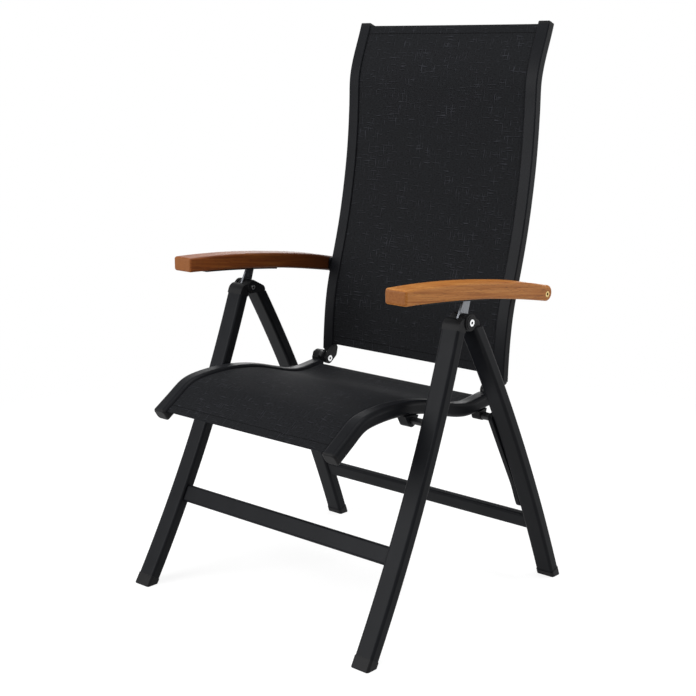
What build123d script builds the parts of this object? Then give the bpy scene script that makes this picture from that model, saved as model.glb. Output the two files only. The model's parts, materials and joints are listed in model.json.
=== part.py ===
from build123d import *
import math
import os

# Reclining garden armchair. X runs across it, +Y to the back, +Z up, the floor is z = 0,
# and the origin is under the middle of its box. The right-hand pieces are at +X.

# Legs: curved flattened tubes that lean in towards the top.
legReach = 600.0
legsMeetY = -18.5
frontStandShare = -0.461667
frontRunShare = 0.451333
frontBendShares = (1.336, -0.3733, 0.0373)
rearStandShare = 0.482333
rearRunShare = -0.49175
rearBendShares = (0.7616, 0.1918, 0.0466)
footOuterX = 303.0
legWidth = 38.4
legDepth = 23.0
legRound = 5.0
legLean = 1.2
legSteps = 8
footCapHeight = 15.0
footCapWall = 0.8
footCapRound = 4.0
overrun = 20.0

# Crossbars between the legs of a frame.
barHeight = 34.0
barDepth = 15.0
barRound = 5.0
frontBarZ = 168.4
frontBarSetback = 3.0
rearBarZ = 121.0

# Leg hinge: the head on the front leg, the cap on the rear leg, the rivet through both.
pivotDrop = 41.0
headSeat = 13.0
headHeight = 22.5
headInset = 0.5
headFrontRound = 16.0
headRearRound = 3.0
earRadius = 15.5
earInnerX = 286.6
earWebWall = 3.2
earWall = 6.6
earRound = 1.2
earBossRadius = 12.0
earBossWall = 0.8
hubRadius = 15.0
hubGap = 1.2
capSeat = 12.0
capInnerX = 253.3
capEarGap = 0.6
capRound = 3.0
rivetRadius = 4.2
rivetBore = 2.4
rivetBoreDepth = 6.0
flangeRadius = 6.3
flangeWall = 1.4
innerHeadRadius = 5.0
runningGap = 0.05
sideGap = 0.35

# Strut: flat steel that leans back out of the leg head and carries the armrest on a cross pin.
strutX = 273.0
strutWall = 4.0
strutRadius = 9.0
strutAhead = 8.0
strutLean = 28.0
strutPinRise = 46.0
strutPinDrop = 6.5
strutHubRadius = 10.0
strutSlotGap = 0.6
strutSlotTurn = -30.0
strutSlotGrow = 1.5
strutPinRadius = 3.6
strutPinLength = 15.0

# Seat: rails, sling, spreaders, and its three hinge places.
seatFrontY = -305.5
seatRailRun = 436.5
seatDrop = 175.4
seatDip = 53.6
seatShares = [(0.0, -0.9997), (0.0344, -0.8136), (0.0893, -0.5149), (0.143, -0.2353),
              (0.1753, -0.1323), (0.2131, -0.0673), (0.2623, -0.0246), (0.3253, 0.0),
              (0.4742, -0.0594), (0.5819, -0.2036), (0.7629, -0.6084), (0.8561, -0.7312),
              (0.9484, -0.6718), (1.0, -0.6242)]
seatRailOuterX = 231.0
seatRailWidth = 32.0
seatRailDepth = 26.0
seatRailRound = 8.5
seatSink = 6.0
slingWall = 1.8
grooveDepth = 5.0
grooveGap = 0.3
slingBite = 3.0
seatSlingFrontInset = 4.0
seatSlingRearInset = 6.0
spreaderRadius = 8.0
spreaderDrop = 17.5
seatSpreaderShares = (0.24, 0.84)
seatNoseWall = 5.0
seatNoseRound = 4.0

seatPivotDrop = 37.6
seatPivotRadius = 5.0
pivotLugRadius = 12.5
slideLugRadius = 9.0
lugRise = 15.0
pivotLugSpread = 16.0
slideLugSpread = 7.0
lugFootRadius = 6.0
lugOuterX = 229.0
lugWidth = 20.0
spacerRadius = 6.5
spacerGap = 0.4

slidePinDrop = 72.6
slidePinAhead = 5.3
slidePinRadius = 4.35
slidePinReach = 25.0
collarRadius = 7.5
collarGap = 0.8
slideGap = 0.45
slideRailWall = 9.0
slideWeb = 2.0
slideHalfWidth = 10.0
slideRailDrop = 186.0
slideSteps = 9

# Back: rails, sling, spreaders, and its hinge places.
backFootSetback = 16.1
backFootRise = 17.0
backSweep = 122.9
backRise = 668.0
backShares = [(0.0, 0.0), (0.032, 0.0928), (0.1139, 0.1976), (0.2705, 0.3024), (0.4247, 0.4072),
              (0.5403, 0.512), (0.6265, 0.6168), (0.6753, 0.7216), (0.69, 0.7814), (0.7063, 0.8413),
              (0.7624, 0.8862), (0.8828, 0.9461), (0.9935, 1.0)]
backRailOuterX = 234.0
backRailWidth = 26.0
backRailDepth = 18.0
backRailRound = 2.4
backSink = 3.2
backSlingRise = 9.2
backSlingTopGap = 0.5
backSpreaderRadius = 5.0
backSpreaderDrop = 12.0
backSpreaderShares = (0.07, 0.5, 0.955)
topCapWall = 6.0
topCapRound = 2.4
footPlugWall = 3.0

# Double hinge: a link turns on a lug at the seat's rear end and carries the back on its other pin.
linkSetback = 10.5
linkLift = 7.9
linkRun = 10.0
linkFall = 8.0
linkWall = 6.0
linkSeatRadius = 8.0
linkBackRadius = 10.0
linkPinRadius = 4.0
hingeLugRadius = 13.5
hingeLugShift = (5.0, -4.5)
hingeLugFootRadius = 9.0
backPivotRadius = 5.0
knuckleRadius = 11.5
knuckleWall = 8.2
knuckleBelly = (13.5, 9.0)
knuckleBellyRadius = 10.5
knuckleTop = (20.0, 18.9)
knuckleTopRadius = 6.5
pinHeadRadius = 6.3
pinHeadWall = 1.6

# Armrests: arched teak, hinged behind the back rails, with a rack under the front half.
armPivotSetback = 36.5
armPivotDrop = 63.0
armPivotRadius = 5.0
armBracketRadius = 11.0
armBracketFootRadius = 7.0
armBracketLow = 4.0
armBracketHigh = 14.0
armBracketWall = 5.0
armInnerX = 241.7
armWidth = 47.5
armTipReach = 16.6
armTipRun = 19.0
armLength = 439.7
armFall = 63.0
armOverPin = 34.0
armTopShares = [(0.0, 0.0), (0.1704, -0.031), (0.4176, -0.143), (0.6791, -0.341), (0.9073, -0.587),
                (1.0, -0.736)]
armLowShares = [(1.0, -1.207), (0.8455, -1.022), (0.6031, -0.773), (0.3772, -0.6065), (0.1634, -0.493),
                (0.0, -0.436)]
armTipShare = -0.97
armRound = 5.0
boltHeadRadius = 6.0
boltHeadWall = 2.6
boltHeadGap = 0.3
boltBore = 2.6
nutRadius = 11.0
nutWall = 6.0
washerRadius = 10.0
rackHalfWidth = 9.5
rackFrontMargin = 14.0
rackRearMargin = 20.0
rackWall = 7.0
rackGap = 0.4
toothDepth = 2.2
notchCount = 7
rackSteps = 10

# How far the chair folds and reclines, and what each piece turns per degree of the two.
foldAngle = 46.0
seatPerFold = 1.9
reclineAngle = 30.0
armPerRecline = 0.68


def legPoint(foot, run, bend, z, depth):
    """Point beside a leg's centre line, moved square to it: a positive depth is to the rear."""
    s = z / legReach
    y = foot + run * (bend[0] * s + bend[1] * s**2 + bend[2] * s**3)
    slope = run * (bend[0] + 2 * bend[1] * s + 3 * bend[2] * s**2) / legReach
    square = math.hypot(1, slope)
    return (y + depth / square, z - depth * slope / square)


def legBand(foot, run, bend, low, high, near, far):
    """Side view of a stretch of leg between two depths."""
    heights = [low + (high - low) * i / legSteps for i in range(legSteps + 1)]
    front = [legPoint(foot, run, bend, z, near) for z in heights]
    rear = [legPoint(foot, run, bend, z, far) for z in heights]
    return closed(front, rear)


def closed(near, far):
    """Face between two curves that run the same way."""
    return make_face([Spline(*near), Line(near[-1], far[-1]), Spline(*far[::-1]), Line(far[0], near[0])])


def spread(shares, y, z, run, rise):
    """Points of a table of shares."""
    return [(y + run * a, z + rise * b) for a, b in shares]


def shifted(points, depth):
    """Points moved square to the curve through them: to the rear of a rise, and below a run."""
    rows = []
    for i, (y, z) in enumerate(points):
        before = points[max(i - 1, 0)]
        after = points[min(i + 1, len(points) - 1)]
        run = after[0] - before[0]
        up = after[1] - before[1]
        span = math.hypot(run, up)
        rows.append((y + depth * up / span, z - depth * run / span))
    return rows


def atHeight(points, z):
    """Place along Y of a rising curve at a height."""
    for (y0, z0), (y1, z1) in zip(points, points[1:]):
        if z <= z1:
            break
    return y0 + (y1 - y0) * (z - z0) / (z1 - z0)


def strip(points, near, far):
    """Side view of a band that follows a curve."""
    return closed(shifted(points, near), shifted(points, far))


def across(face, start, end):
    """A side view drawn out along X from one place to another."""
    return extrude(Plane.YZ.offset(start) * face, amount=end - start, dir=(1, 0, 0))


def rod(y, z, radius, start, end):
    """Cylinder along X."""
    return across(Pos(y, z) * Circle(radius), start, end)


def softened(solid, radius):
    """Long curved edges rounded."""
    return fillet(solid.edges().filter_by(GeomType.BSPLINE), radius)


def leaned(solid):
    """A right-hand piece tilted with its legs."""
    return solid.rotate(Axis((footOuterX, 0, 0), (0, 1, 0)), -legLean)


def mirrored(solid):
    return mirror(solid, about=Plane.YZ)


def hull(*circles):
    """Side view of a strap stretched round circles given as y, z and radius."""
    edges = ShapeList()
    for y, z, radius in circles:
        edges += (Pos(y, z) * Circle(radius)).edges()
    return make_hull(edges)


def turned(point, centre, degrees):
    """A point of the side view turned about another, from +Y towards +Z."""
    a = math.radians(degrees)
    y = point[0] - centre[0]
    z = point[1] - centre[1]
    return (centre[0] + y * math.cos(a) - z * math.sin(a), centre[1] + y * math.sin(a) + z * math.cos(a))


def moved(point, step):
    return (point[0] + step[0], point[1] + step[1])


def half(start, end):
    """A slab across the whole width between two heights, used to trim pieces."""
    return Pos(0, 0, (start + end) / 2) * Box(2 * legReach, 2 * legReach, end - start)


# Places in the side view that several pieces share.
front = (legsMeetY + legReach * frontStandShare, legReach * frontRunShare, frontBendShares)
rear = (legsMeetY + legReach * rearStandShare, legReach * rearRunShare, rearBendShares)
halfDepth = legDepth / 2
legInnerX = footOuterX - legWidth
pivotZ = legReach - pivotDrop
pivotY = (legPoint(*front, pivotZ, 0)[0] + legPoint(*rear, pivotZ, 0)[0]) / 2
legPivot = (pivotY, pivotZ)
frontLegTopZ = pivotZ - headSeat
rearLegTopZ = pivotZ - capSeat
earOuterX = earInnerX + earWall + earBossWall
capOuterX = earInnerX - capEarGap

strutAxis = (math.sin(math.radians(strutLean)), math.cos(math.radians(strutLean)))
strutRun = strutPinRise / strutAxis[1]
strutPin = (pivotY - strutAhead + strutRun * strutAxis[0], pivotZ + strutPinRise)

seatRailInnerX = seatRailOuterX - seatRailWidth
seatRise = legReach - seatDrop
seatCurve = spread(seatShares, seatFrontY, seatRise, seatRailRun, seatDip)
seatEnd = seatCurve[-1]
seatPivotZ = seatRise - seatPivotDrop
seatPivot = (legPoint(*front, seatPivotZ, 0)[0], seatPivotZ)
slidePinZ = seatRise - slidePinDrop
slidePin = (legPoint(*rear, slidePinZ, 0)[0] - slidePinAhead, slidePinZ)

linkPivot = (seatEnd[0] + linkSetback, seatEnd[1] + linkLift)
backPivot = (linkPivot[0] + linkRun, linkPivot[1] - linkFall)
backRailInnerX = backRailOuterX - backRailWidth
backFootY = backPivot[0] + backFootSetback
backFootZ = backPivot[1] + backFootRise
backCurve = spread(backShares, backFootY, backFootZ, backSweep, backRise)

armTopZ = pivotZ + strutPinRise + armOverPin
armPivotZ = armTopZ - armPivotDrop
railAtArm = atHeight(backCurve, armPivotZ)
armPivot = (railAtArm + armPivotSetback, armPivotZ)
armFrontY = armPivot[0] + armTipReach - armLength
legSide = leaned(Pos(legInnerX + legReach / 2, 0, legReach / 2) * Box(legReach, 2 * legReach, 2 * legReach))


def legTube(leg, low, high):
    tube = across(legBand(*leg, low, high, -halfDepth, halfDepth), legInnerX, footOuterX)
    return softened(tube, legRound)


def footCap(leg):
    """End cap: the tube's outline a wall thicker, cut flat on the floor."""
    reach = halfDepth + footCapWall
    cap = across(legBand(*leg, -overrun, footCapHeight, -reach, reach), legInnerX - footCapWall,
                 footOuterX + footCapWall)
    cap = leaned(softened(cap, legRound)) & half(0, 2 * overrun)
    sole = cap.faces().sort_by(Axis.Z)[0]
    return fillet(sole.edges(), footCapRound / 2)


def crossbar(leg, z, setback):
    """Rounded bar between the inner faces of two legs, turned with them."""
    y, height = legPoint(*leg, z, setback)
    low = legPoint(*leg, z - barHeight / 2, 0)
    high = legPoint(*leg, z + barHeight / 2, 0)
    angle = math.degrees(math.atan2(high[1] - low[1], high[0] - low[0])) - 90
    profile = Pos(y, height) * Rot(0, 0, angle) * RectangleRounded(barDepth, barHeight, barRound)
    bar = across(profile, -footOuterX, footOuterX)
    return bar - legSide - mirrored(legSide)


parts = {}


def pair(name, solid):
    """A right-hand piece and its mirror image."""
    parts[name + "_right"] = solid
    parts[name + "_left"] = mirrored(solid)


# Front frame.
frontTube = leaned(legTube(front, footCapHeight, frontLegTopZ))
pair("front_leg", frontTube)
pair("front_foot", footCap(front))
parts["front_crossbar"] = crossbar(front, frontBarZ, frontBarSetback)

strutLow = (pivotY - strutAhead, pivotZ)
strutTop = (strutPin[0] - strutPinDrop * strutAxis[0], strutPin[1] - strutPinDrop * strutAxis[1])
strutFace = hull((*legPivot, strutHubRadius), (*strutLow, strutRadius), (*strutTop, strutRadius))
strutStart = strutX - strutWall / 2
strutEnd = strutX + strutWall / 2
strut = across(strutFace, strutStart, strutEnd)
strut -= rod(*legPivot, rivetRadius, strutStart, strutEnd)
strut -= rod(*strutPin, strutPinRadius, strutStart, strutEnd)
pair("strut", strut)
pinStart = strutX - strutPinLength / 2
strutPinRight = rod(*strutPin, strutPinRadius, pinStart, pinStart + strutPinLength)
parts["strut_pins"] = Compound([strutPinRight, mirrored(strutPinRight)])

# Leg head: a plastic block on the tube's end with a well rounded front, hollowed round the hub. A web behind
# its outer face carries the ear, a disc with a raised middle that holds the rivet.
headReach = halfDepth - headInset
head = across(legBand(*front, frontLegTopZ, frontLegTopZ + headHeight, -headReach, headReach),
              legInnerX + headInset, footOuterX - headInset)
ridges = head.faces().sort_by(Axis.Z)[-1].edges().filter_by(Axis.X).sort_by(Axis.Y)
head = fillet(ridges[-1], headRearRound)
ridges = head.faces().filter_by(GeomType.PLANE).sort_by(Axis.Z)[-1].edges().filter_by(Axis.X).sort_by(Axis.Y)
head = leaned(fillet(ridges[0], headFrontRound))
head -= rod(*legPivot, hubRadius + hubGap, 0, earInnerX)
head -= across(strutFace, strutStart, strutEnd)
webFoot = legPoint(*front, pivotZ - headSeat / 2, 0)
webFace = hull((*legPivot, earRadius), (*webFoot, headReach - headRearRound))
web = across(webFace, earInnerX, earInnerX + earWebWall) & half(frontLegTopZ, 2 * legReach)
ear = rod(*legPivot, earRadius, earInnerX, earInnerX + earWall)
ear = fillet(ear.faces().sort_by(Axis.X)[-1].edges(), earRound)
ear += rod(*legPivot, earBossRadius, earInnerX + earWall, earOuterX)
head += (web + ear) - frontTube
head -= rod(*legPivot, rivetRadius, 0, footOuterX)
pair("leg_head", head)

# Rear frame.
rearTube = leaned(legTube(rear, footCapHeight, rearLegTopZ + overrun)) & half(0, rearLegTopZ)
pair("rear_leg", rearTube)
pair("rear_foot", footCap(rear))
parts["rear_crossbar"] = crossbar(rear, rearBarZ, 0)

capLow = legPoint(*rear, rearLegTopZ + capRound, 0)
rearCap = across(hull((*legPivot, hubRadius), (*capLow, halfDepth)), capInnerX, capOuterX)
rearCap = fillet(rearCap.edges().filter_by(GeomType.LINE).filter_by(Plane.YZ), capRound) & half(
    rearLegTopZ, 2 * legReach)
rearCap -= rod(*legPivot, rivetRadius + runningGap, 0, footOuterX)
slotHalf = strutWall / 2 + strutSlotGap
slotStart = strutHubRadius + strutSlotGrow
slotPlace = Pos(strutX, pivotY, pivotZ) * Rot(strutSlotTurn, 0, 0) * Pos(0, slotStart - legReach / 2, 0)
rearCap -= slotPlace * Box(2 * slotHalf, legReach, legReach)
pair("rear_leg_cap", rearCap)

rivetEnd = earOuterX + flangeWall
rivet = rod(*legPivot, rivetRadius, capInnerX - sideGap - flangeWall, rivetEnd)
rivet += rod(*legPivot, innerHeadRadius, capInnerX - sideGap - flangeWall, capInnerX - sideGap)
rivet += rod(*legPivot, flangeRadius, earOuterX, rivetEnd)
rivet -= rod(*legPivot, rivetBore, rivetEnd - rivetBoreDepth, rivetEnd)
pair("head_rivet", rivet)


def pinPath(step):
    """Centre of the seat's rear pin, seen from the rear leg, at a share of the fold."""
    fold = foldAngle * step
    return turned(turned(slidePin, seatPivot, -seatPerFold * fold), legPivot, fold)


# Slide rail on the rear leg's inner face. Its channel is the path of the seat's rear pin.
path = [pinPath(i / slideSteps) for i in range(slideSteps + 1)]
last = path[-1]
railEnd = legPoint(*rear, slidePinZ - slideRailDrop, 0)
spine = path + [((last[0] + railEnd[0]) / 2, (last[1] + railEnd[1]) / 2), railEnd]
slideFace = strip(spine, -slideHalfWidth, slideHalfWidth)
slideFace += Pos(*path[0]) * Circle(slideHalfWidth)
slideFace += Pos(*railEnd) * Circle(slideHalfWidth)
slideRail = across(slideFace, legInnerX - slideRailWall, legInnerX)
slideHalf = slidePinRadius + slideGap
channel = strip(path, -slideHalf, slideHalf)
channel += Pos(*path[0]) * Circle(slideHalf)
channel += Pos(*last) * Circle(slideHalf)
slideRail = leaned(slideRail)
slideRail -= across(channel, seatRailOuterX, legInnerX) - Pos(-slideWeb, 0, 0) * legSide
pair("slide_rail", slideRail)

# Seat rails with the groove that holds the sling's edge.
railFace = strip(seatCurve, 0, seatRailDepth)
seatRail = softened(across(railFace, seatRailInnerX, seatRailOuterX), seatRailRound)
seatGroove = across(strip(seatCurve, seatSink - grooveGap, seatSink + slingWall + grooveGap),
                    seatRailInnerX, seatRailInnerX + grooveDepth)
seatRail -= seatGroove
pair("seat_rail", seatRail)

slingHalf = seatRailInnerX + slingBite
seatSling = across(strip(seatCurve, seatSink, seatSink + slingWall), -slingHalf, slingHalf)
seatSlingFrontY = seatFrontY + seatSlingFrontInset
seatSlingSpan = seatEnd[0] - seatSlingRearInset - seatSlingFrontY
seatSling &= Pos(0, seatSlingFrontY + seatSlingSpan / 2, seatRise) * Box(2 * legReach, seatSlingSpan,
                                                                         legReach)
parts["seat_sling"] = seatSling


def onCurve(points, share, drop):
    """Point below a curve at a share of its run."""
    lower = shifted(points, drop)
    place = share * (len(lower) - 1)
    i = min(int(place), len(lower) - 2)
    t = place - i
    return (lower[i][0] * (1 - t) + lower[i + 1][0] * t, lower[i][1] * (1 - t) + lower[i + 1][1] * t)


spreaderNames = ("seat_spreader_front", "seat_spreader_rear")
for name, share in zip(spreaderNames, seatSpreaderShares):
    place = onCurve(seatCurve, share, spreaderDrop)
    parts[name] = rod(*place, spreaderRadius, -seatRailInnerX, seatRailInnerX)


def endCap(points, depth, wall, inner, outer, end, sideRound, domeRound):
    """Domed plug on the end of a rail, rounded like the rail along its sides."""
    a = points[end]
    b = shifted(points, depth)[end]
    side = -1 if end == 0 else 1
    out = (-(b[1] - a[1]) / depth * wall * side, (b[0] - a[0]) / depth * wall * side)
    cap = across(make_face(Polyline(a, b, moved(b, out), moved(a, out), close=True)), inner, outer)
    cap = fillet(cap.edges().sort_by(SortBy.LENGTH)[:4], sideRound)
    middle = moved(((a[0] + b[0]) / 2, (a[1] + b[1]) / 2), out)
    dome = cap.faces().sort_by_distance(((inner + outer) / 2, *middle))[0]
    return fillet(dome.edges(), min(domeRound, wall))


seatTube = (seatRailInnerX, seatRailOuterX)
noseCap = endCap(seatCurve, seatRailDepth, seatNoseWall, *seatTube, 0, seatRailRound, seatNoseRound)
pair("seat_front_cap", noseCap)


railBand = strip(seatCurve, -seatRailDepth, seatRailDepth)


def railLug(pin, radius, spread, bore):
    """Lug that hangs under the seat rail round a pin, cut to the rail's underside."""
    ahead = moved(pin, (-spread, lugRise))
    behind = moved(pin, (spread, lugRise))
    face = hull((*pin, radius), (*ahead, lugFootRadius), (*behind, lugFootRadius))
    lug = across(face, lugOuterX - lugWidth, lugOuterX)
    lug -= across(railBand, 0, footOuterX)
    return lug - rod(*pin, bore, 0, footOuterX)


# Front pivot of the seat: a lug under the rail, and a stud with a spacer from the leg.
pair("seat_pivot_bracket", railLug(seatPivot, pivotLugRadius, pivotLugSpread, seatPivotRadius + runningGap))
studEnd = lugOuterX - lugWidth - sideGap
stud = rod(*seatPivot, seatPivotRadius, studEnd, footOuterX)
stud += rod(*seatPivot, spacerRadius, lugOuterX + spacerGap, footOuterX)
stud += rod(*seatPivot, spacerRadius, studEnd - flangeWall, studEnd)
pair("seat_pivot_stud", stud - legSide)

# Rear pin of the seat, held by a lug under the rail, with a collar that bears on the slide rail's face.
pair("seat_slide_bracket", railLug(slidePin, slideLugRadius, slideLugSpread, slidePinRadius))
slideFaceX = legInnerX - slideRailWall - slidePinZ * math.tan(math.radians(legLean))
collar = rod(*slidePin, collarRadius, lugOuterX + spacerGap, slideFaceX - collarGap)
slidePinRod = rod(*slidePin, slidePinRadius, lugOuterX - lugWidth, lugOuterX + slidePinReach)
pair("seat_slide_pin", slidePinRod + collar)

# Lug on the seat rail's rear end, the link that turns on it, and the pin that carries the back.
linkInnerX = backRailInnerX + sideGap
linkOuterX = linkInnerX + linkWall
railTail = shifted(seatCurve, seatRailDepth / 2)[-1]
lugFace = hull((*moved(linkPivot, hingeLugShift), hingeLugRadius), (*railTail, hingeLugFootRadius))
hingeLug = across(lugFace, linkOuterX + sideGap, seatRailOuterX) - across(railBand, 0, footOuterX)
pair("seat_hinge_lug", hingeLug - rod(*linkPivot, linkPinRadius + runningGap, 0, footOuterX))
link = across(hull((*linkPivot, linkSeatRadius), (*backPivot, linkBackRadius)), linkInnerX, linkOuterX)
link -= rod(*backPivot, backPivotRadius, 0, footOuterX)
link += rod(*linkPivot, linkPinRadius, linkOuterX, seatRailOuterX + sideGap)
link += rod(*linkPivot, pinHeadRadius, seatRailOuterX + sideGap, seatRailOuterX + sideGap + pinHeadWall)
pair("hinge_link", link)
pinHeadX = backRailInnerX - knuckleWall - sideGap - pinHeadWall
hingePin = rod(*backPivot, backPivotRadius, pinHeadX, linkOuterX)
hingePin += rod(*backPivot, pinHeadRadius, pinHeadX, pinHeadX + pinHeadWall)
hingePin -= rod(*backPivot, rivetBore, pinHeadX, pinHeadX + rivetBoreDepth)
pair("back_hinge_pin", hingePin)

# Back rails, sling and spreaders.
backRail = softened(across(strip(backCurve, 0, backRailDepth), backRailInnerX, backRailOuterX), backRailRound)
backGroove = across(strip(backCurve, backSink - grooveGap, backSink + slingWall + grooveGap),
                    backRailInnerX, backRailInnerX + grooveDepth)
backRail -= backGroove
pair("back_rail", backRail)
backSlingHalf = backRailInnerX + slingBite
backSlingTopZ = backFootZ + backRise - backSlingTopGap
backSling = across(strip(backCurve, backSink, backSink + slingWall), -backSlingHalf, backSlingHalf)
parts["back_sling"] = backSling & half(backFootZ + backSlingRise, backSlingTopZ)
for name, share in zip(("low", "middle", "top"), backSpreaderShares):
    parts["back_spreader_" + name] = rod(*onCurve(backCurve, share, backSpreaderDrop), backSpreaderRadius,
                                         -backRailInnerX, backRailInnerX)
backTube = (backRailInnerX, backRailOuterX)
pair("back_top_cap", endCap(backCurve, backRailDepth, topCapWall, *backTube, -1, backRailRound, topCapRound))

# Knuckle on the inner side of the back rail's lower end, with the rail's foot plug.
knuckleFace = hull((*backPivot, knuckleRadius), (*moved(backPivot, knuckleBelly), knuckleBellyRadius),
                   (*moved(backPivot, knuckleTop), knuckleTopRadius))
knuckle = across(knuckleFace, backRailInnerX - knuckleWall, backRailInnerX)
knuckle = fillet(knuckle.faces().sort_by(Axis.X)[0].edges(), earRound)
knuckle -= rod(*backPivot, backPivotRadius + runningGap, 0, footOuterX)
plug = endCap(backCurve, backRailDepth, footPlugWall, *backTube, 0, backRailRound, footPlugWall / 2)
knuckle += plug
pair("back_knuckle", knuckle)

# Arm hinge bracket outside the back rail.
railMiddle = railAtArm + backRailDepth / 2
bracket = across(hull((*armPivot, armBracketRadius),
                      (railMiddle, armPivotZ - armBracketLow, armBracketFootRadius),
                      (railMiddle, armPivotZ + armBracketHigh, armBracketFootRadius)),
                 backRailOuterX, backRailOuterX + armBracketWall)
bracket -= rod(*armPivot, armPivotRadius + runningGap, 0, footOuterX)
pair("arm_bracket", bracket)

# Armrest, its bolt and its rack.
armRun = armLength - armTipRun
armTop = spread(armTopShares, armFrontY, armTopZ, armRun, armFall)
armLow = spread(armLowShares, armFrontY, armTopZ, armRun, armFall)
armTip = (armFrontY + armLength, armTopZ + armFall * armTipShare)
armFace = make_face([Spline(*armTop), ThreePointArc(armTop[-1], armTip, armLow[0]), Spline(*armLow),
                     Line(armLow[-1], armTop[0])])
armOuterX = armInnerX + armWidth
arm = across(armFace, armInnerX, armOuterX)
arm = fillet(arm.edges(), armRound)


def pinInArm(recline):
    """Centre of the strut's pin, seen from the armrest, at an angle of recline."""
    pivot = turned(armPivot, backPivot, -recline)
    y = strutPin[0] - pivot[0] + armPivot[0]
    z = strutPin[1] - pivot[1] + armPivot[1]
    return turned((y, z), armPivot, recline * (1 - armPerRecline))


rackPath = [pinInArm(reclineAngle * i / rackSteps) for i in range(rackSteps + 1)]
rackRear = rackPath[0][0] + rackRearMargin
rackFront = rackPath[-1][0] - rackFrontMargin
rackCurve = [(rackFront, rackPath[-1][1])] + rackPath[::-1] + [(rackRear, rackPath[0][1])]
rackLow = [(y, z + strutPinRadius + rackGap) for y, z in rackCurve]
rackHigh = [(y, z + rackWall) for y, z in rackLow]
rackFace = make_face([Polyline(*rackLow, *rackHigh[::-1], close=True)])
rack = across(rackFace, strutX - rackHalfWidth, strutX + rackHalfWidth)
for i in range(notchCount):
    y, z = pinInArm(reclineAngle * i / (notchCount - 1))
    rack -= rod(y, z + toothDepth, strutPinRadius + rackGap, 0, footOuterX)
pocketFoot = armTopZ - armWidth * 2
pocketFace = make_face([Polyline((rackFront, pocketFoot), *rackHigh, (rackRear, pocketFoot), close=True)])
arm -= across(pocketFace, strutX - rackHalfWidth, strutX + rackHalfWidth)
arm -= rod(*armPivot, armPivotRadius + runningGap, 0, footOuterX)
arm -= rod(*armPivot, boltHeadRadius + boltHeadGap, armOuterX - boltHeadWall - boltHeadGap, footOuterX)
pair("armrest", arm)
pair("arm_rack", rack)

# Bolt through bracket and armrest: a nut inside, a washer between, a socket head sunk in the outer side.
bracketOuterX = backRailOuterX + armBracketWall
nutEnd = backRailOuterX - sideGap
bolt = rod(*armPivot, armPivotRadius, nutEnd, armOuterX - boltHeadWall)
bolt += rod(*armPivot, nutRadius, nutEnd - nutWall, nutEnd)
bolt += rod(*armPivot, washerRadius, bracketOuterX + sideGap, armInnerX - sideGap)
bolt += rod(*armPivot, boltHeadRadius, armOuterX - boltHeadWall, armOuterX)
bolt -= rod(*armPivot, boltBore, armOuterX - rivetBoreDepth, armOuterX)
pair("arm_bolt", bolt)

os.makedirs("parts", exist_ok=True)
for name, solid in parts.items():
    export_step(solid, "parts/" + name + ".step")
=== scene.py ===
import json
import math

import bmesh
import bpy
import numpy as np
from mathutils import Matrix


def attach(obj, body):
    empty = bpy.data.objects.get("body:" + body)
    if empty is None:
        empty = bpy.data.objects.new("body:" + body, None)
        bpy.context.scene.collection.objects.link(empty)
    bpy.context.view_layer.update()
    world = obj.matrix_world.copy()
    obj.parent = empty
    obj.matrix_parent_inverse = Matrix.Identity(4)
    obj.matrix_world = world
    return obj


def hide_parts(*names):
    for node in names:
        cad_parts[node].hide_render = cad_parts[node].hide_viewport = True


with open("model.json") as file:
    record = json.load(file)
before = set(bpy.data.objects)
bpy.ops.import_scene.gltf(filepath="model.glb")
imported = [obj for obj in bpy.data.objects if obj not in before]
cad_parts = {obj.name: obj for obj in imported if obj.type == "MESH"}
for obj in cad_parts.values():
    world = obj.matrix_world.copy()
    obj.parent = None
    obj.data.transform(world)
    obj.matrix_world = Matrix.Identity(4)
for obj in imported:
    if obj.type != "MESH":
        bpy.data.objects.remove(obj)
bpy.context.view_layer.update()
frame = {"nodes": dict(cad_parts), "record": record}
nodes = frame["nodes"]
scene = bpy.context.scene
mm = 0.001


# sRGB hex to the linear values that sockets take: c/12.92 near black, else ((c+0.055)/1.055)^2.4.
def linear(hexText):
    values = [int(hexText[i:i + 2], 16) / 255 for i in (1, 3, 5)]
    return tuple(v / 12.92 if v <= 0.04045 else ((v + 0.055) / 1.055) ** 2.4 for v in values) + (1.0,)


# Adds a node, sets its properties, then fills each input with a value or a link.
def add(tree, kind, inputs=None, **settings):
    node = tree.nodes.new(kind)
    for name, value in settings.items():
        setattr(node, name, value)
    for key, value in (inputs or {}).items():
        if isinstance(value, bpy.types.NodeSocket):
            tree.links.new(value, node.inputs[key])
        else:
            node.inputs[key].default_value = value
    return node


def newMaterial(name):
    material = bpy.data.materials.new(name)
    material.use_nodes = True
    material.node_tree.nodes.clear()
    return material, material.node_tree


# A ramp from a grey value to colours, as (place, hex) stops.
def ramp(tree, factor, stops):
    node = add(tree, "ShaderNodeValToRGB", {"Fac": factor})
    elements = node.color_ramp.elements
    while len(elements) < len(stops):
        elements.new(0.5)
    for element, (place, colour) in zip(elements, stops):
        element.position = place
        element.color = linear(colour)
    return node.outputs["Color"]


# Two colours blended, with over at its full where part is 1.
def mixed(tree, part, under, over):
    return add(tree, "ShaderNodeMix", {"Factor": part, 6: under, 7: over}, data_type="RGBA").outputs[2]


# The surface shader with its output; a socket's spaces are written as underscores.
def shaderOut(tree, colour, bump=None, **sockets):
    inputs = {"Base Color": colour}
    inputs.update({name.replace("_", " "): value for name, value in sockets.items()})
    if bump is not None:
        inputs["Normal"] = bump
    shader = add(tree, "ShaderNodeBsdfPrincipled", inputs)
    add(tree, "ShaderNodeOutputMaterial", {"Surface": shader.outputs["BSDF"]})
    return shader


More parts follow.
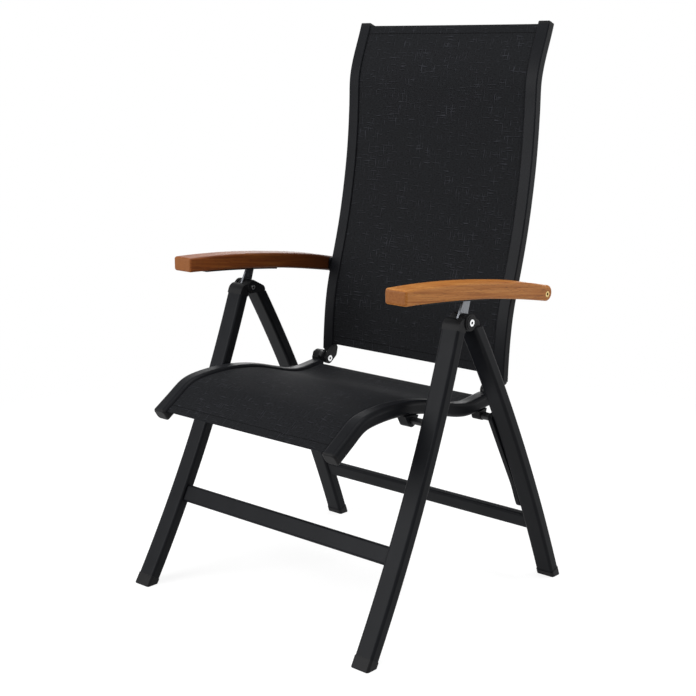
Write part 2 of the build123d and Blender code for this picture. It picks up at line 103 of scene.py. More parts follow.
# Camera: the place and angle that the photograph was taken from, in degrees, metres and mm of lens.
view = {"place": (1.68379, -1.90951, 1.03510), "azimuth": 41.2746, "elevation": 12.5418, "lens": 70.187,
        "sensor": 36, "shiftX": -0.01168, "shiftY": -0.00086, "sees": 50}
cameraData = bpy.data.cameras.new("photoCamera")
cameraData.lens = view["lens"]
cameraData.sensor_width = view["sensor"]
cameraData.shift_x = view["shiftX"]
cameraData.shift_y = view["shiftY"]
cameraData.clip_end = view["sees"]
camera = bpy.data.objects.new("photoCamera", cameraData)
camera.location = view["place"]
camera.rotation_euler = (math.radians(90 - view["elevation"]), 0, math.radians(view["azimuth"]))
scene.collection.objects.link(camera)
scene.camera = camera
scene.view_settings.view_transform = "Standard"
print("camera set")


# Powder-coated aluminium: a matt polyester skin baked on the tube. The eye sees a dark, slightly cool
# grey with a soft broad highlight, faint clouds and a very fine orange peel.
paintLook = {"dark": "#121316", "light": "#17181b", "roughness": 0.4, "shine": 0.065, "peelMm": 1.4, "peel": 0.06,
             "peelDeepMm": 0.5, "cloudsPerMetre": 14.0}


def powderCoat():
    material, tree = newMaterial("powderCoatedAluminium")
    place = add(tree, "ShaderNodeTexCoord").outputs["Object"]
    # Real peel is about 0.4 mm across: drawn at peelMm so that it shows at all.
    peel = add(tree, "ShaderNodeTexNoise", {"Vector": place, "Scale": 1000 / paintLook["peelMm"], "Detail": 2.0})
    clouds = add(tree, "ShaderNodeTexNoise", {"Vector": place, "Scale": paintLook["cloudsPerMetre"],
                                             "Detail": 3.0})
    colour = ramp(tree, clouds.outputs["Fac"], [(0.3, paintLook["dark"]), (0.7, paintLook["light"])])
    bump = add(tree, "ShaderNodeBump", {"Height": peel.outputs["Fac"], "Strength": paintLook["peel"],
                                        "Distance": paintLook["peelDeepMm"] * mm})
    shaderOut(tree, colour, bump.outputs["Normal"], Roughness=paintLook["roughness"], IOR=1.5,
              Specular_IOR_Level=paintLook["shine"])
    return material


# Moulded polyamide: glass-filled nylon with a spark-eroded grain, nearly black and slightly waxy.
plasticLook = {"dark": "#0e0e0f", "light": "#151517", "roughness": 0.48, "shine": 0.1, "grainMm": 0.9, "grain": 0.12,
               "grainDeepMm": 0.4}


def mouldedNylon():
    material, tree = newMaterial("mouldedBlackNylon")
    place = add(tree, "ShaderNodeTexCoord").outputs["Object"]
    # Real spark-eroded grain is about 0.2 mm across: drawn at grainMm so that it shows.
    spark = add(tree, "ShaderNodeTexNoise", {"Vector": place, "Scale": 1000 / plasticLook["grainMm"], "Detail": 3.0})
    colour = ramp(tree, spark.outputs["Fac"], [(0.35, plasticLook["dark"]), (0.65, plasticLook["light"])])
    bump = add(tree, "ShaderNodeBump", {"Height": spark.outputs["Fac"], "Strength": plasticLook["grain"],
                                        "Distance": plasticLook["grainDeepMm"] * mm})
    shaderOut(tree, colour, bump.outputs["Normal"], Roughness=plasticLook["roughness"], IOR=1.53,
              Specular_IOR_Level=plasticLook["shine"])
    return material


# Blackened steel: pins and links dipped in a thin oxide. The eye sees near black with a dull oily sheen.
oxideLook = {"dark": "#121214", "light": "#1b1b1e", "roughness": 0.38, "metal": 0.3, "stainMm": 3.0}


def blackenedSteel():
    material, tree = newMaterial("blackenedSteel")
    place = add(tree, "ShaderNodeTexCoord").outputs["Object"]
    stain = add(tree, "ShaderNodeTexNoise", {"Vector": place, "Scale": 1000 / oxideLook["stainMm"], "Detail": 3.0})
    colour = ramp(tree, stain.outputs["Fac"], [(0.3, oxideLook["dark"]), (0.7, oxideLook["light"])])
    shaderOut(tree, colour, Metallic=oxideLook["metal"], Roughness=oxideLook["roughness"])
    return material


# Zinc-plated steel: rolled strip and turned pins under a thin bright plating, with faint lengthwise drawing lines.
steelLook = {"dark": "#54565a", "light": "#797b7f", "roughness": 0.34, "smoother": 0.06, "rougher": 0.1,
             "lineMm": 0.5, "lineSqueeze": 0.06}
# Rivet heads, polished by the tool that closed them: brighter and smoother, with painted shade in their bore.
polishLook = {"dark": "#cfd0d1", "light": "#e6e7e8", "roughness": 0.28, "smoother": 0.06, "rougher": 0.1,
              "lineMm": 0.5, "lineSqueeze": 0.06, "bore": "#070708", "boreMm": 2.45, "boreEdgeMm": 0.2}


# Where axis gives the (y, z) of a tubular rivet in metres, the bore in it is painted near black: painted shade in the
# hole.
def platedSteel(name, look, axis=None):
    material, tree = newMaterial(name)
    place = add(tree, "ShaderNodeTexCoord").outputs["Object"]
    stretched = add(tree, "ShaderNodeMapping", {"Vector": place, "Scale": (1.0, 1.0, look["lineSqueeze"])})
    lines = add(tree, "ShaderNodeTexNoise", {"Vector": stretched.outputs["Vector"],
                                             "Scale": 1000 / look["lineMm"], "Detail": 2.0})
    colour = ramp(tree, lines.outputs["Fac"], [(0.3, look["dark"]), (0.7, look["light"])])
    if axis is not None:
        aside = add(tree, "ShaderNodeVectorMath", {0: place, 1: (0.0, *axis)}, operation="SUBTRACT").outputs[0]
        aside = add(tree, "ShaderNodeVectorMath", {0: aside, 1: (0.0, 1.0, 1.0)}, operation="MULTIPLY").outputs[0]
        reach = add(tree, "ShaderNodeVectorMath", {0: aside}, operation="LENGTH").outputs["Value"]
        edge = (look["boreMm"] + look["boreEdgeMm"]) * mm
        bore = add(tree, "ShaderNodeMapRange", {"Value": reach, "From Min": look["boreMm"] * mm, "From Max": edge,
                                                "To Min": 1.0, "To Max": 0.0})
        # Painted shade: a near black disc over the rivet's bore.
        colour = mixed(tree, bore.outputs["Result"], colour, linear(look["bore"]))
    rough = add(tree, "ShaderNodeMapRange", {"Value": lines.outputs["Fac"],
                                             "To Min": look["roughness"] - look["smoother"],
                                             "To Max": look["roughness"] + look["rougher"]})
    shader = shaderOut(tree, colour, Metallic=1.0)
    tree.links.new(rough.outputs["Result"], shader.inputs["Roughness"])
    return material


# Brass bolt: turned and lightly tarnished, so the ring is a soft yellow grey.
brassLook = {"dark": "#9c8350", "light": "#c9b27a", "roughness": 0.34, "stainsPerMetre": 260.0}


def turnedBrass():
    material, tree = newMaterial("turnedBrass")
    place = add(tree, "ShaderNodeTexCoord").outputs["Object"]
    stain = add(tree, "ShaderNodeTexNoise", {"Vector": place, "Scale": brassLook["stainsPerMetre"], "Detail": 3.0})
    colour = ramp(tree, stain.outputs["Fac"], [(0.3, brassLook["dark"]), (0.7, brassLook["light"])])
    shaderOut(tree, colour, Metallic=1.0, Roughness=brassLook["roughness"])
    return material


# Oiled teak: planed and sanded boards. The eye sees warm orange brown, soft growth bands a few mm wide that run the
# length of the arm, short dark pores along them, and darker end grain, which drinks more oil. Towards the rear end of
# each arm the colour is darkened to the rear tone: painted shade.
teakLook = {"dark": "#9c5c24", "middle": "#bb7838", "light": "#cf914d", "pore": "#6b3a12", "end": "#703f18",
            "rear": "#a35f26", "rearShadePart": 0.35}
# The left arm's teak is a darker, browner copy of the same board: painted shade, darkest at its rear end.
shadedTeakLook = {"dark": "#6b3411", "middle": "#844519", "light": "#9a5b26", "pore": "#4b250b", "end": "#825026",
                 "rear": "#371807", "rearShadePart": 0.95}
grain = {"bandMm": 3.6, "bandStretch": 36.0, "poreMm": 0.8, "poreStretch": 18.0, "roughness": 0.5, "shine": 0.2,
         "fallDeg": -7.0, "frontY": -0.16, "rearY": 0.2, "poreFull": 0.3, "poreNone": 0.4, "porePart": 0.6,
         "poreBump": 0.15, "poreDeepMm": 0.4, "endNone": 0.5, "endFull": 0.95, "endPart": 0.75}


# Places turned so that Y runs along the arm, which falls to the rear, and squeezed along it.
def alongArm(tree, place, stretch):
    turned = add(tree, "ShaderNodeMapping", {"Vector": place, "Scale": (1.0, stretch, 1.0),
                                             "Rotation": (math.radians(grain["fallDeg"]), 0.0, 0.0)},
                 vector_type="TEXTURE")
    return turned.outputs["Vector"]


# One board: its own name, and its tones from a look.
def oiledTeak(name, look):
    material, tree = newMaterial(name)
    place = add(tree, "ShaderNodeTexCoord").outputs["Object"]
    bands = add(tree, "ShaderNodeTexNoise", {"Vector": alongArm(tree, place, grain["bandStretch"]),
                                             "Scale": 1000 / grain["bandMm"], "Detail": 4.0, "Roughness": 0.6,
                                             "Distortion": 0.6})
    colour = ramp(tree, bands.outputs["Fac"], [(0.3, look["dark"]), (0.5, look["middle"]),
                                               (0.7, look["light"])])
    pores = add(tree, "ShaderNodeTexNoise", {"Vector": alongArm(tree, place, grain["poreStretch"]),
                                             "Scale": 1000 / grain["poreMm"], "Detail": 1.0})
    # Only the valleys of the fine noise below poreNone are pores.
    depth = add(tree, "ShaderNodeMapRange", {"Value": pores.outputs["Fac"], "From Min": grain["poreFull"],
                                             "From Max": grain["poreNone"], "To Min": grain["porePart"],
                                             "To Max": 0.0})
    parts = add(tree, "ShaderNodeSeparateXYZ", {"Vector": place})
    # Painted shade: the colour darkens from frontY to rearY, towards the rear tone, up to the look's share.
    rearShade = add(tree, "ShaderNodeMapRange", {"Value": parts.outputs["Y"], "From Min": grain["frontY"],
                                              "From Max": grain["rearY"], "To Max": look["rearShadePart"]})
    colour = mixed(tree, rearShade.outputs["Result"], colour, linear(look["rear"]))
    colour = mixed(tree, depth.outputs["Result"], colour, linear(look["pore"]))
    # End grain: where the face looks along the arm.
    facing = add(tree, "ShaderNodeSeparateXYZ", {"Vector": add(tree, "ShaderNodeTexCoord").outputs["Normal"]})
    along = add(tree, "ShaderNodeMath", {0: facing.outputs["Y"]}, operation="ABSOLUTE")
    ends = add(tree, "ShaderNodeMapRange", {"Value": along.outputs[0], "From Min": grain["endNone"],
                                            "From Max": grain["endFull"], "To Max": grain["endPart"]})
    colour = mixed(tree, ends.outputs["Result"], colour, linear(look["end"]))
    bump = add(tree, "ShaderNodeBump", {"Height": pores.outputs["Fac"], "Strength": grain["poreBump"],
                                        "Distance": grain["poreDeepMm"] * mm})
    shaderOut(tree, colour, bump.outputs["Normal"], Roughness=grain["roughness"], IOR=1.5,
              Specular_IOR_Level=grain["shine"])
    return material


# Textilene: PVC-coated polyester yarns in a plain open weave. The eye sees charcoal cloth with a faint grain and,
# here and there, a thicker yarn as a short dash with a painted highlight and a painted shadow beside it, like linen.
# A row of stitches runs along each hem. UV is in metres on the cloth: U across the chair, V along the sling.
slingLook = {"dark": "#1a1a1c", "base": "#212224", "light": "#323337", "shadow": "#0f0f11", "stitch": "#0b0b0c",
             "roughness": 0.75, "shine": 0.03, "bump": 0.35, "deepMm": 0.6,
             "threadMm": 1.9, "threadPart": 0.05, "fleckMm": (5.0, 1.6), "fleckSeed": 7.7,
             "slubMm": 2.4, "slubLengthMm": 27.0, "slubEdge": 0.06, "slubRise": 0.5, "shadowMm": 1.1,
             "crowd": 0.25, "crowdsPerMetre": 16.0,
             "hemMm": 17.0, "seamMm": 0.9, "stitchMm": 4.0, "stitchGap": -0.4}
# Where each set of slubs starts in the noise, and the least height that shows.
crossSlubs = {"seed": 3.1, "least": 0.77}
lengthSlubs = {"seed": 11.7, "least": 0.78}


# Noise squeezed to dashes wide by tall mm; seed moves it so that no two are alike, and shift by mm.
def slubs(tree, uv, wide, tall, seed, shift=(0.0, 0.0)):
    place = (seed + shift[0] / wide, seed * 1.7 + shift[1] / tall, 0.0)
    squeezed = add(tree, "ShaderNodeMapping", {"Vector": uv, "Scale": (1000 / wide, 1000 / tall, 1.0),
                                               "Location": place})
    return add(tree, "ShaderNodeTexNoise", {"Vector": squeezed.outputs["Vector"], "Scale": 1.0, "Detail": 1.0,
                                            "Roughness": 0.5}).outputs["Fac"]


# sin(2 pi v / period): one thread per turn.
def threads(tree, value, periodMm):
    turn = add(tree, "ShaderNodeMath", {0: value, 1: math.tau * 1000 / periodMm}, operation="MULTIPLY")
    return add(tree, "ShaderNodeMath", {0: turn.outputs[0]}, operation="SINE").outputs[0]


# Groups of slubs: they crowd in some places and leave others plain.
def dashes(tree, uv, wide, tall, crowd, look, shift=(0.0, 0.0)):
    peaks = add(tree, "ShaderNodeMath", {0: crowd, 1: slingLook["crowd"],
                                         2: slubs(tree, uv, wide, tall, look["seed"], shift)},
                operation="MULTIPLY_ADD")
    return add(tree, "ShaderNodeMapRange", {"Value": peaks.outputs[0], "From Min": look["least"],
                                            "From Max": look["least"] + slingLook["slubEdge"]}).outputs["Result"]


def textilene(name, length):
    material, tree = newMaterial(name)
    uv = add(tree, "ShaderNodeTexCoord").outputs["UV"]
    parts = add(tree, "ShaderNodeSeparateXYZ", {"Vector": uv})
    # Real yarns are about 0.9 mm apart: drawn at threadMm so that they show.
    weft = threads(tree, parts.outputs["Y"], slingLook["threadMm"])
    warp = threads(tree, parts.outputs["X"], slingLook["threadMm"])
    yarn = add(tree, "ShaderNodeMath", {0: weft, 1: warp}, operation="MULTIPLY").outputs[0]
    crowd = add(tree, "ShaderNodeTexNoise", {"Vector": uv, "Scale": slingLook["crowdsPerMetre"],
                                             "Detail": 2.0}).outputs["Fac"]
    long, thick, shadow = slingLook["slubLengthMm"], slingLook["slubMm"], slingLook["shadowMm"]
    over = dashes(tree, uv, long, thick, crowd, crossSlubs)
    down = dashes(tree, uv, thick, long, crowd, lengthSlubs)
    # The slubs are raised in the bump and painted lighter: a painted highlight.
    raisedHighlit = add(tree, "ShaderNodeMath", {0: over, 1: down}, operation="MAXIMUM").outputs[0]
    # The same dashes moved by shadowMm are their painted shadows.
    under = dashes(tree, uv, long, thick, crowd, crossSlubs, (0.0, shadow))
    beside = dashes(tree, uv, thick, long, crowd, lengthSlubs, (shadow, 0.0))
    slubShadows = add(tree, "ShaderNodeMath", {0: under, 1: beside}, operation="MAXIMUM").outputs[0]
    flecks = slubs(tree, uv, *slingLook["fleckMm"], slingLook["fleckSeed"])
    low = add(tree, "ShaderNodeMath", {0: yarn, 1: slingLook["threadPart"], 2: flecks},
              operation="MULTIPLY_ADD").outputs[0]
    ground = ramp(tree, low, [(0.36, slingLook["dark"]), (0.5, slingLook["base"])])
    # Painted shadow: the moved dashes darken the cloth beside each slub.
    cloth = mixed(tree, slubShadows, ground, linear(slingLook["shadow"]))
    # Painted highlight on the slubs.
    cloth = mixed(tree, raisedHighlit, cloth, linear(slingLook["light"]))
    # Stitches: both hems at once, since |v - length / 2| is the same for the two.
    out = add(tree, "ShaderNodeMath", {0: parts.outputs["Y"], 1: length / 2}, operation="SUBTRACT").outputs[0]
    out = add(tree, "ShaderNodeMath", {0: out}, operation="ABSOLUTE").outputs[0]
    seam = add(tree, "ShaderNodeMath", {0: out, 1: length / 2 - slingLook["hemMm"] * mm, 2: slingLook["seamMm"] * mm},
               operation="COMPARE").outputs[0]
    stitch = add(tree, "ShaderNodeMath", {0: threads(tree, parts.outputs["X"], slingLook["stitchMm"]),
                                          1: slingLook["stitchGap"]}, operation="GREATER_THAN").outputs[0]
    sewn = add(tree, "ShaderNodeMath", {0: seam, 1: stitch}, operation="MULTIPLY").outputs[0]
    cloth = mixed(tree, sewn, cloth, linear(slingLook["stitch"]))
    height = add(tree, "ShaderNodeMath", {0: raisedHighlit, 1: slingLook["slubRise"], 2: low},
                 operation="MULTIPLY_ADD").outputs[0]
    height = add(tree, "ShaderNodeMath", {0: height, 1: sewn}, operation="SUBTRACT").outputs[0]
    bump = add(tree, "ShaderNodeBump", {"Height": height, "Strength": slingLook["bump"],
                                        "Distance": slingLook["deepMm"] * mm})
    shaderOut(tree, cloth, bump.outputs["Normal"], Roughness=slingLook["roughness"], IOR=1.45,
              Specular_IOR_Level=slingLook["shine"])
    return material


paint = powderCoat()
nylon = mouldedNylon()
steel = platedSteel("zincPlatedSteel", steelLook)
oxide = blackenedSteel()
brass = turnedBrass()
teak = oiledTeak("oiledTeak", teakLook)
# The left arm's teak: the same teak painted darker, as painted shade.
shadedTeak = oiledTeak("oiledTeakPaintedShade", shadedTeakLook)
hinges = {joint["name"]: joint["pos_m"][1:] for joint in frame["record"]["behaviour"]["joints"]}
legRivet = platedSteel("polishedLegRivet", polishLook, hinges["fold"])
backRivet = platedSteel("polishedBackRivet", polishLook, hinges["recline"])
finishes = {
    "arm_bolt": brass, "armrest_left": shadedTeak, "armrest_right": teak,
    "strut": steel, "head_rivet": legRivet, "back_hinge_pin": backRivet,
    "seat_pivot_stud": oxide, "seat_slide_pin": oxide, "hinge_link": oxide,
    "front_foot": nylon, "rear_foot": nylon, "leg_head": nylon, "rear_leg_cap": nylon, "seat_front_cap": nylon,
    "seat_hinge_lug": nylon, "seat_slide_bracket": nylon, "back_top_cap": nylon, "back_knuckle": nylon,
    "arm_rack": nylon,
}
for name, piece in nodes.items():
    finish = next((look for start, look in finishes.items() if name.startswith(start)), paint)
    piece.data.materials.clear()
    piece.data.materials.append(finish)
print("materials on the rigid pieces")


# Cubic spline through points (y, z) in mm, chord length as its parameter: the second derivatives solve the usual
# three-term system, with none at the ends. Gives count places evenly along it, with their square directions and
# their distances from the start.
def splineThrough(points, count):
    p = np.array(points, float)
    t = np.concatenate([[0], np.cumsum(np.hypot(*np.diff(p, axis=0).T))])
    h = np.diff(t)
    n = len(p)
    system = np.eye(n)
    right = np.zeros((n, 2))
    rows = np.arange(1, n - 1)
    system[rows, rows - 1] = h[:-1]
    system[rows, rows] = 2 * (h[:-1] + h[1:])
    system[rows, rows + 1] = h[1:]
    slopes = np.diff(p, axis=0) / h[:, None]
    right[rows] = 6 * np.diff(slopes, axis=0)
    m = np.linalg.solve(system, right)
    s = np.linspace(0, t[-1], 2001)
    i = np.clip(np.searchsorted(t, s, side="right") - 1, 0, n - 2)
    a = (t[i + 1] - s)[:, None]
    b = (s - t[i])[:, None]
    g = h[i][:, None]
    q = (m[i] * a ** 3 + m[i + 1] * b ** 3) / (6 * g)
    q = q + (p[i] / g - m[i] * g / 6) * a + (p[i + 1] / g - m[i + 1] * g / 6) * b
    length = np.concatenate([[0], np.cumsum(np.hypot(*np.diff(q, axis=0).T))])
    even = np.linspace(0, length[-1], count)
    line = np.stack([np.interp(even, length, q[:, k]) for k in (0, 1)], 1)
    tangent = np.gradient(line, axis=0)
    tangent /= np.hypot(*tangent.T)[:, None]
    return line, np.stack([tangent[:, 1], -tangent[:, 0]], 1), even


# A mesh from a grid of places: rows along V, columns along U, one quad between each four, with its UV in metres.
def gridPiece(name, places, uv, body, material):
    rows, columns = places.shape[:2]
    k = np.arange(rows * columns).reshape(rows, columns)
    faces = np.stack([k[:-1, :-1], k[:-1, 1:], k[1:, 1:], k[1:, :-1]], -1).reshape(-1, 4)
    mesh = bpy.data.meshes.new(name)
    mesh.from_pydata(places.reshape(-1, 3).tolist(), [], faces.tolist())
    layer = mesh.uv_layers.new(name="cloth")
    layer.data.foreach_set("uv", uv.reshape(-1, 2)[faces.ravel()].ravel().astype(np.float32))
    mesh.polygons.foreach_set("use_smooth", np.ones(len(faces), bool))
    mesh.materials.append(material)
    piece = bpy.data.objects.new(name, mesh)
    scene.collection.objects.link(piece)
    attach(piece, body)
    return piece


# The curves that the rails follow in side view, in mm: shares of a run and a rise from one end.
seatCurve = {"y": -305.5, "z": 0.0, "run": 436.5, "rise": 424.6,
             "shares": [(0.0, 0.8738), (0.0344, 0.8973), (0.0893, 0.935), (0.143, 0.9703), (0.1753, 0.9833),
                        (0.2131, 0.9915), (0.2623, 0.9969), (0.3253, 1.0), (0.4742, 0.9925), (0.5819, 0.9743),
                        (0.7629, 0.9232), (0.8561, 0.9077), (0.9484, 0.9152), (1.0, 0.9212)]}
backCurve = {"y": 167.6, "z": 408.04, "run": 122.9, "rise": 668.0,
             "shares": [(0.0, 0.0), (0.032, 0.0928), (0.1139, 0.1976), (0.2705, 0.3024), (0.4247, 0.4072),
                        (0.5403, 0.512), (0.6265, 0.6168), (0.6753, 0.7216), (0.69, 0.7814), (0.7063, 0.8413),
                        (0.7624, 0.8862), (0.8828, 0.9461), (0.9935, 1.0)]}


def curvePoints(curve):
    return [(curve["y"] + curve["run"] * a, curve["z"] + curve["rise"] * b) for a, b in curve["shares"]]


# Sling: the rail's curve moved in by the groove's depth below the rail's face, carried straight across, with a
# slight hollow between the rails: depth = hollow * (1 - (x / half)^2). It starts and ends at two places on Y (axis 0)
# or Z (axis 1).
seatSling = {"name": "seatSling", "cloth": "wovenSeatTextilene", "half": 202.0, "sink": 6.9, "wall": 1.8,
             "hollow": 0.6, "axis": 0, "from": -300.0, "to": 125.0, "columns": 41, "rows": 121, "samples": 1200}
backSling = {"name": "backSling", "cloth": "wovenBackTextilene", "half": 211.0, "sink": 4.1, "wall": 1.8,
             "hollow": 0.6, "axis": 1, "from": 417.3, "to": 1075.6, "columns": 41, "rows": 161, "samples": 1200}


def makeSling(look, curve, body, node):
    line, square, s = splineThrough(curvePoints(curve), look["samples"])
    line = line + square * look["sink"]
    along = line[:, look["axis"]]
    inside = (along >= look["from"]) & (along <= look["to"])
    line, square, s = line[inside], square[inside], s[inside]
    pick = np.linspace(0, len(s) - 1, look["rows"]).round().astype(int)
    line, square, s = line[pick], square[pick], s[pick]
    x = np.linspace(-look["half"], look["half"], look["columns"])
    depth = look["hollow"] * (1 - (x / look["half"]) ** 2)
    yz = line[:, None, :] + square[:, None, :] * depth[None, :, None]
    places = np.concatenate([np.broadcast_to(x[None, :, None], yz.shape[:2] + (1,)), yz], -1) * mm
    uv = np.stack(np.broadcast_arrays(x[None, :], s[:, None]), -1) * mm
    uv[:, :, 1] -= s[0] * mm
    piece = gridPiece(look["name"], places, uv, body, textilene(look["cloth"], float(s[-1] - s[0]) * mm))
    wall = piece.modifiers.new("wall", "SOLIDIFY")
    wall.thickness = look["wall"] * mm
    wall.offset = 0
    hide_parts(node)


makeSling(seatSling, seatCurve, "seat", "seat_sling")
makeSling(backSling, backCurve, "back", "back_sling")
print("slings made")


# A nylon piece from places in metres and faces, turned outwards, with a small rounding in mm along its edges.
def trimPiece(name, places, faces, body, rounding=0.0):
    mesh = bpy.data.meshes.new(name)
    mesh.from_pydata(places.tolist(), [], faces)
    shape = bmesh.new()
    shape.from_mesh(mesh)
    bmesh.ops.delete(shape, geom=[v for v in shape.verts if not v.link_faces], context="VERTS")
    bmesh.ops.recalc_face_normals(shape, faces=shape.faces)
    shape.to_mesh(mesh)
    shape.free()
    mesh.materials.append(nylon)
    piece = bpy.data.objects.new(name, mesh)
    scene.collection.objects.link(piece)
    if rounding:
        bevel = piece.modifiers.new("rounding", "BEVEL")
        bevel.width = rounding * mm
        bevel.segments = 2
    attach(piece, body)


# Rim of the plug in each back rail's foot, in mm: rings go down the rail from its end, each a share of the section.
footRim = {"x": 221.0, "halfWide": 12.7, "middle": 9.0, "halfDeep": 8.7, "around": 48, "samples": 400,
           "rings": [(1.0, 0.9), (1.0, 1.0), (4.0, 1.0), (6.0, 0.96), (7.6, 0.88), (8.8, 0.76), (9.4, 0.62)]}


# A squared oval, |a|^4 + |b|^4 = 1, carried down the rail: each ring is the oval times its share.
def makeFootRim(side, word):
    line, square = splineThrough(curvePoints(backCurve), footRim["samples"])[:2]
    foot, back, up = line[0], square[0], np.array([-square[0][1], square[0][0]])
    turn = np.linspace(0, 2 * math.pi, footRim["around"], endpoint=False)
    wide = np.sign(np.cos(turn)) * np.abs(np.cos(turn)) ** 0.5
    deep = np.sign(np.sin(turn)) * np.abs(np.sin(turn)) ** 0.5
    down, share = np.array(footRim["rings"]).T[:, :, None]
    x = side * (footRim["x"] + footRim["halfWide"] * wide[None, :] * share)
    depth = footRim["middle"] + footRim["halfDeep"] * deep[None, :] * share
    yz = foot + depth[..., None] * back - down[..., None] * up
    places = np.concatenate([x[..., None], yz], -1) * mm
    rows, columns = places.shape[:2]
    k = np.arange(rows * columns).reshape(rows, columns)
    after = np.roll(k, -1, axis=1)
    faces = np.stack([k[:-1], after[:-1], after[1:], k[1:]], -1).reshape(-1, 4).tolist()
    faces += [k[0].tolist(), k[-1].tolist()]
    trimPiece("backFootRim_" + word, places.reshape(-1, 3), faces, "back")


# Plate that holds the rack under each armrest, in mm: it follows the arm's underside and leaves the rack's slot open.
slidePlate = {"wall": 2.2, "above": 0.3, "front": -150.0, "rear": 44.0, "inner": 245.5, "outer": 285.5,
              "slot": (-109.1, 18.1), "slotSides": (263.5, 282.5), "rounding": 0.5,
              "frontRows": 4, "slotRows": 14, "rearRows": 3, "samples": 400,
              "under": [(-195.1, 611.5), (-126.4, 607.9), (-36.4, 600.8), (58.6, 590.3), (160.6, 574.6)]}


# A grid of two layers with the cells over the slot left out and walls round both edges.
def makeSlidePlate(side, word):
    line = splineThrough(slidePlate["under"], slidePlate["samples"])[0]
    low, high = slidePlate["slot"]
    frontRows, slotRows, rearRows = (slidePlate[name] for name in ("frontRows", "slotRows", "rearRows"))
    y = np.concatenate([np.linspace(slidePlate["front"], low, frontRows + 1),
                        np.linspace(low, high, slotRows + 1)[1:],
                        np.linspace(high, slidePlate["rear"], rearRows + 1)[1:]])
    x = np.array([slidePlate["inner"], *slidePlate["slotSides"], slidePlate["outer"]])
    z = np.interp(y, line[:, 0], line[:, 1])
    grid = np.stack(np.broadcast_arrays(side * x[None, :], y[:, None], z[:, None]), -1)
    top = grid + (0, 0, slidePlate["above"])
    bottom = grid - (0, 0, slidePlate["wall"])
    k = np.arange(grid.shape[0] * grid.shape[1]).reshape(grid.shape[:2])
    cells = np.stack([k[:-1, :-1], k[:-1, 1:], k[1:, 1:], k[1:, :-1]], -1)
    kept = np.ones(cells.shape[:2], bool)
    kept[frontRows:-rearRows, 1] = False
    cells = cells[kept]
    edges = np.concatenate([cells[:, [i, (i + 1) % 4]] for i in range(4)])
    pairs, counts = np.unique(np.sort(edges, 1), axis=0, return_counts=True)
    walls = pairs[counts == 1]
    under = k.size
    faces = cells.tolist() + (cells + under).tolist()
    faces += np.stack([walls[:, 0], walls[:, 1], walls[:, 1] + under, walls[:, 0] + under], -1).tolist()
    places = np.concatenate([top.reshape(-1, 3), bottom.reshape(-1, 3)]) * mm
    trimPiece("armSlidePlate_" + word, places, faces, "armrest_" + word, slidePlate["rounding"])


for side, word in ((-1, "left"), (1, "right")):
    makeFootRim(side, word)
    makeSlidePlate(side, word)
print("trim made")


# Studio: a floor and world that are white where the camera, steel or glass sees them, and plain soft lamps. The
# floor's white keeps a faint shadow under the chair and is even further out.
studio = {"floorHalf": 12.0, "worldLight": 0.13, "floorLit": 0.86, "floorGlow": 0.86, "floorPale": 0.3,
          "shadowNear": 0.9, "shadowFar": 1.7}


# 1 for rays from the camera, off a gloss or through glass.
def seenDirectly(tree):
    path = add(tree, "ShaderNodeLightPath").outputs
    either = add(tree, "ShaderNodeMath", {0: path["Is Camera Ray"], 1: path["Is Glossy Ray"]}, operation="MAXIMUM")
    return add(tree, "ShaderNodeMath", {0: either.outputs[0], 1: path["Is Transmission Ray"]},
               operation="MAXIMUM").outputs[0]


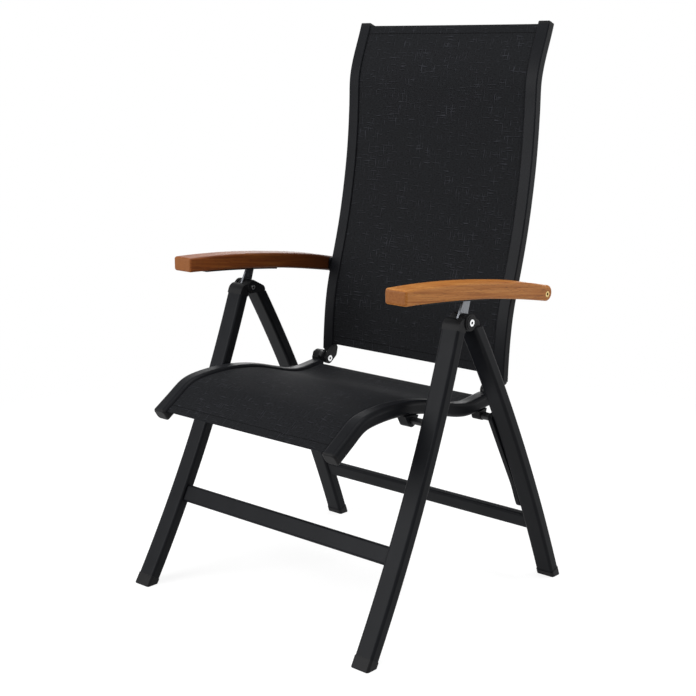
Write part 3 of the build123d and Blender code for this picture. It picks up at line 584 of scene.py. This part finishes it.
def makeStudio():
    mesh = bpy.data.meshes.new("studioFloor")
    h = studio["floorHalf"]
    mesh.from_pydata([(-h, -h, 0), (h, -h, 0), (h, h, 0), (-h, h, 0)], [], [(0, 1, 2, 3)])
    material, tree = newMaterial("paleFloor")
    white = (1.0, 1.0, 1.0, 1.0)
    lit = add(tree, "ShaderNodeBsdfDiffuse", {"Color": (studio["floorLit"],) * 3 + (1.0,)})
    pale = add(tree, "ShaderNodeBsdfDiffuse", {"Color": (studio["floorPale"],) * 3 + (1.0,)})
    glow = add(tree, "ShaderNodeEmission", {"Color": white, "Strength": studio["floorGlow"]})
    near = add(tree, "ShaderNodeAddShader", {0: glow.outputs[0], 1: pale.outputs[0]})
    even = add(tree, "ShaderNodeEmission", {"Color": white, "Strength": 1.0})
    away = add(tree, "ShaderNodeVectorMath", {0: add(tree, "ShaderNodeTexCoord").outputs["Object"]},
               operation="LENGTH").outputs["Value"]
    far = add(tree, "ShaderNodeMapRange", {"Value": away, "From Min": studio["shadowNear"],
                                           "From Max": studio["shadowFar"]})
    shown = add(tree, "ShaderNodeMixShader", {0: far.outputs["Result"], 1: near.outputs[0], 2: even.outputs[0]})
    mix = add(tree, "ShaderNodeMixShader", {0: seenDirectly(tree), 1: lit.outputs[0], 2: shown.outputs[0]})
    add(tree, "ShaderNodeOutputMaterial", {"Surface": mix.outputs[0]})
    mesh.materials.append(material)
    floor = bpy.data.objects.new("studioFloor", mesh)
    scene.collection.objects.link(floor)
    world = bpy.data.worlds.new("studioWorld")
    scene.world = world
    world.use_nodes = True
    tree = world.node_tree
    tree.nodes.clear()
    power = add(tree, "ShaderNodeMapRange", {"Value": seenDirectly(tree), "To Min": studio["worldLight"],
                                             "To Max": 1.0})
    sky = add(tree, "ShaderNodeBackground", {"Color": white, "Strength": power.outputs["Result"]})
    add(tree, "ShaderNodeOutputWorld", {"Surface": sky.outputs[0]})


# Soft square lamps, in metres and watts, all aimed at the middle of the chair.
lamps = {"aim": (0.0, 0.0, 0.55),
         "keyLamp": ((-1.3, -3.0, 1.7), 2.2, 98), "sideLamp": ((3.0, -1.0, 2.0), 1.6, 9),
         "topLamp": ((0.8, 0.2, 3.6), 2.0, 62), "rimLamp": ((3.0, 3.2, 0.9), 1.8, 26),
         "backLamp": ((-2.2, 3.2, 1.8), 2.0, 45)}


# The lamp's own -Z is turned from straight down by the angle to its aim, then round Z.
def softLamp(name):
    place, size, watts = lamps[name]
    data = bpy.data.lights.new(name, "AREA")
    data.shape = "SQUARE"
    data.size = size
    data.energy = watts
    lamp = bpy.data.objects.new(name, data)
    lamp.location = place
    aim = np.array(lamps["aim"]) - np.array(place)
    lamp.rotation_euler = (math.atan2(math.hypot(aim[0], aim[1]), -aim[2]), 0, math.atan2(aim[0], -aim[1]) + math.pi)
    scene.collection.objects.link(lamp)


makeStudio()
for name in ("keyLamp", "sideLamp", "topLamp", "rimLamp", "backLamp"):
    softLamp(name)
print("studio set")
